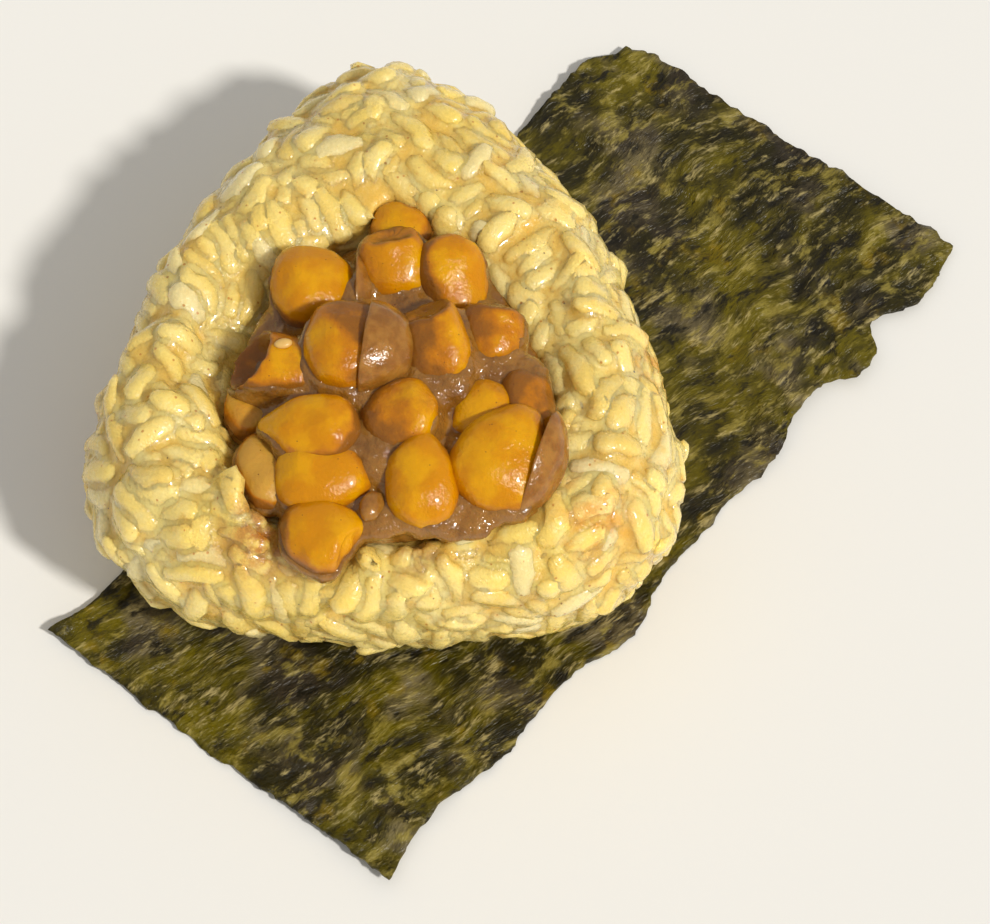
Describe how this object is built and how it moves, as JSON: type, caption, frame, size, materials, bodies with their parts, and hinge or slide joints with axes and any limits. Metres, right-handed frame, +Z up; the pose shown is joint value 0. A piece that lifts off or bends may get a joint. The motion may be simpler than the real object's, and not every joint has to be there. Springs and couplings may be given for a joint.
{
  "type": "onigiri rice ball",
  "caption": "Three-cornered rice ball with corn kernels in brown sauce in its hollow, lying flat on a strip of nori.",
  "frame": {"origin": "on the ground under the middle of the whole, which is the middle of the nori strip", "axes": "+X to the viewer's right, +Y away from the viewer towards the ball's far corner, +Z up"},
  "size_m": [0.1046, 0.1115, 0.0338],
  "materials": {
    "rice": "moist, slightly glossy cooked rice grains",
    "nori": "dark green, crinkled and faintly glossy seaweed",
    "sauce": "thick glossy brown sauce",
    "corn": "glossy cooked corn, half coated with sauce"
  },
  "bodies": {
    "root": {"rice": "rice", "nori": "nori", "sauce": "sauce", "kernel_01": "corn", "kernel_02": "corn", "kernel_03": "corn", "kernel_04": "corn", "kernel_05": "corn", "kernel_06": "corn", "kernel_07": "corn", "kernel_08": "corn", "kernel_09": "corn", "kernel_10": "corn", "kernel_11": "corn", "kernel_12": "corn", "kernel_13": "corn", "kernel_14": "corn", "kernel_15": "corn", "kernel_16": "corn", "kernel_17": "corn", "kernel_18": "corn"}
  },
  "joints": []
}
